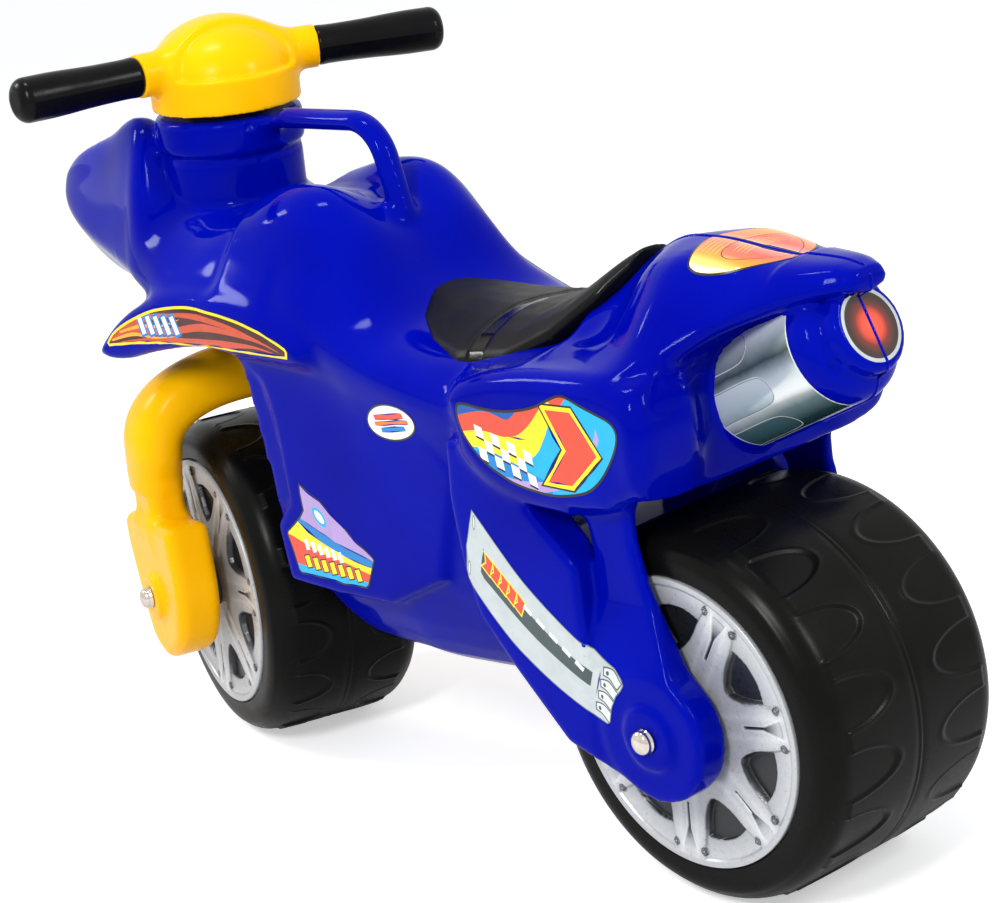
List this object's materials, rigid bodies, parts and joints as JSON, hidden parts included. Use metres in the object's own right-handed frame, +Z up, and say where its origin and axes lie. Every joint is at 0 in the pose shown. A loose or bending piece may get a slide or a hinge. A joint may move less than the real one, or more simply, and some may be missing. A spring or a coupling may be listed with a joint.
{
  "type": "ride-on motorcycle",
  "caption": "Toddler's push-along ride-on motorcycle in moulded plastic with a steered front fork, fat rolling wheels, a saddle and a carry handle.",
  "frame": {"origin": "middle of the whole bike's box in length and width, on the ground", "axes": "+X forward, +Y to the rider's left, +Z up"},
  "size_m": [0.719, 0.2756, 0.468],
  "materials": {
    "blue_plastic": "gloss",
    "yellow_plastic": "gloss",
    "seat_plastic": "gloss",
    "grip_plastic": "satin",
    "wheel_plastic": "satin",
    "rim_plastic": "satin silver",
    "bush_plastic": "matte",
    "cap_chrome": "polished",
    "steel": "plain"
  },
  "bodies": {
    "frame": {"body_shell": "blue_plastic", "seat_pad": "seat_plastic", "headstock_bushes": "bush_plastic", "rear_axle": "steel", "rear_axle_caps": "cap_chrome"},
    "steering": {"fork": "yellow_plastic", "handlebar_console": "yellow_plastic", "left_grip": "grip_plastic", "right_grip": "grip_plastic", "steering_bolt": "steel", "front_axle": "steel", "front_axle_caps": "cap_chrome"},
    "front_wheel": {"front_tyre": "wheel_plastic", "front_rim_left": "rim_plastic", "front_rim_right": "rim_plastic", "front_wheel_bushes": "bush_plastic"},
    "rear_wheel": {"rear_tyre": "wheel_plastic", "rear_rim_left": "rim_plastic", "rear_rim_right": "rim_plastic", "rear_wheel_bushes": "bush_plastic"}
  },
  "joints": [
    {"name": "steering_turn", "type": "hinge", "parent": "frame", "child": "steering", "pos_m": [0.18244, -0.00453, 0.10557], "axis": [-0.0628, 0, 0.998], "range_deg": [-14.3, 45.7]},
    {"name": "front_wheel_spin", "type": "hinge", "parent": "steering", "child": "front_wheel", "pos_m": [0.18244, -0.00453, 0.10557], "axis": [0.2701, 0.9627, 0.017], "continuous": true},
    {"name": "rear_wheel_spin", "type": "hinge", "parent": "frame", "child": "rear_wheel", "pos_m": [-0.25156, -0.00453, 0.10499], "axis": [0, 1, 0], "continuous": true}
  ]
}
